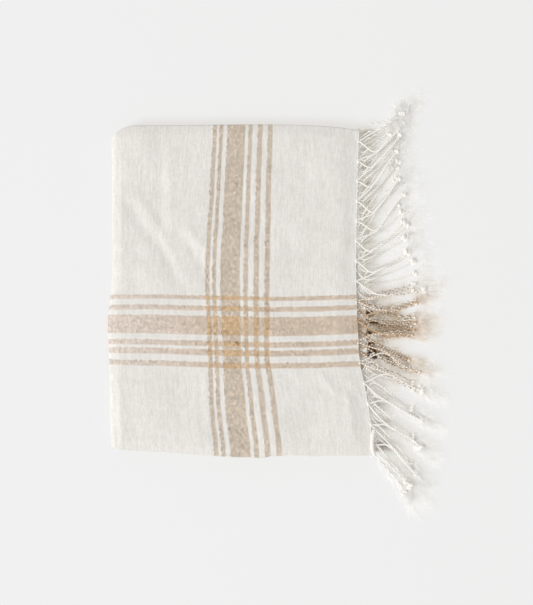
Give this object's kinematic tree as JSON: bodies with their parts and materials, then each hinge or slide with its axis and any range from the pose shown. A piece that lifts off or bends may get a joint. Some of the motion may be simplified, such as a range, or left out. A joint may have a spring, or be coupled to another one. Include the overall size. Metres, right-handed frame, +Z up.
{
  "type": "folded hand towel",
  "caption": "Woven cotton hand towel with a striped border and a twisted fringe on both ends, folded to a flat pad that lies on a table or shelf.",
  "frame": {"origin": "under the middle of the folded panel, on the surface that carries the towel", "axes": "+X towards the fringed side, +Y towards the long fold across the width, +Z up"},
  "size_m": [0.2552, 0.3194, 0.0123],
  "materials": {
    "woven_cotton": "hand-woven unbleached cotton, matt, slubby, with tan warp and weft stripes",
    "fringe_cotton": "twisted warp yarn with frayed ends, matt, tan where the warp stripes run out"
  },
  "bodies": {
    "root": {"towel_cloth": "woven_cotton", "fringe_first_end": "fringe_cotton", "fringe_second_end": "fringe_cotton"}
  },
  "joints": []
}
